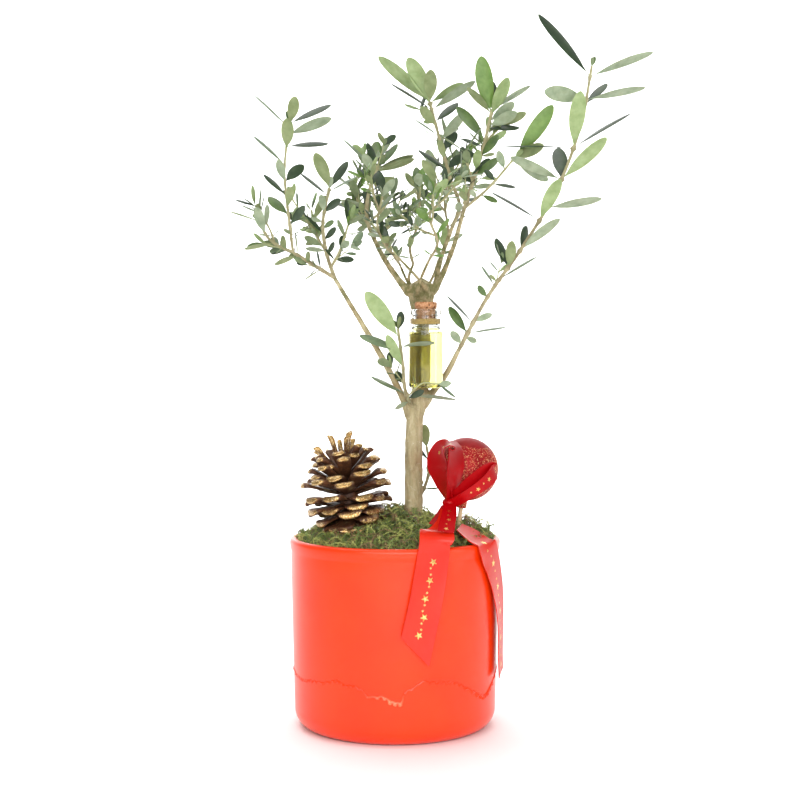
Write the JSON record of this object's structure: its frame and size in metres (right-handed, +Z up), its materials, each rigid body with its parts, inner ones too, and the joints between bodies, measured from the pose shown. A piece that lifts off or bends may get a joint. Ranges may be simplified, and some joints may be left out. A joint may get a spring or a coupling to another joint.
{
  "type": "potted olive tree",
  "caption": "Young olive tree in a round glazed cover pot with moss, a pine cone, a bauble with ribbon and a small corked bottle tied to the trunk.",
  "frame": {"origin": "centre of the pot's flat underside", "axes": "+Z up along the trunk, -Y the front with the ribbon and the bottle, +X to the right with the tall shoot"},
  "size_m": [0.2661, 0.1546, 0.4535],
  "materials": {
    "glaze": "gloss",
    "soil": "matte",
    "moss": "matte",
    "bark": "matte",
    "foliage": "satin",
    "cone": "satin",
    "gold": "satin",
    "bauble": "satin",
    "pick": "matte",
    "ribbon": "satin",
    "glass": "gloss",
    "oil": "gloss",
    "cork": "matte",
    "thread": "satin"
  },
  "bodies": {
    "root": {"pot": "glaze", "soil": "soil", "moss": "moss", "trunk": "bark", "bough_left_low": "bark", "bough_right_low": "bark", "bough_crown_left": "bark", "bough_crown_middle": "bark", "bough_crown_back_left": "bark", "bough_crown_back": "bark", "bough_crown_tall": "bark", "bough_crown_right": "bark", "bough_crown_front": "bark", "bough_crown_front_left": "bark", "foliage_left_outer": "foliage", "foliage_left_inner": "foliage", "foliage_right_tall": "foliage", "foliage_crown_left": "foliage", "foliage_crown_front_left": "foliage", "foliage_crown_middle": "foliage", "foliage_crown_tall": "foliage", "foliage_crown_right": "foliage", "foliage_crown_back": "foliage", "foliage_crown_back_left": "foliage", "foliage_crown_front": "foliage", "foliage_trunk_shoot": "foliage", "foliage_base_sprig": "foliage", "pine_cone": "cone", "bauble": "bauble", "bauble_pick": "pick", "ribbon_bow": "ribbon", "ribbon_tail_front": "ribbon", "ribbon_tail_side": "ribbon", "bottle_glass": "glass", "bottle_oil": "oil", "bottle_cork": "cork", "bottle_tie": "thread"}
  },
  "joints": []
}
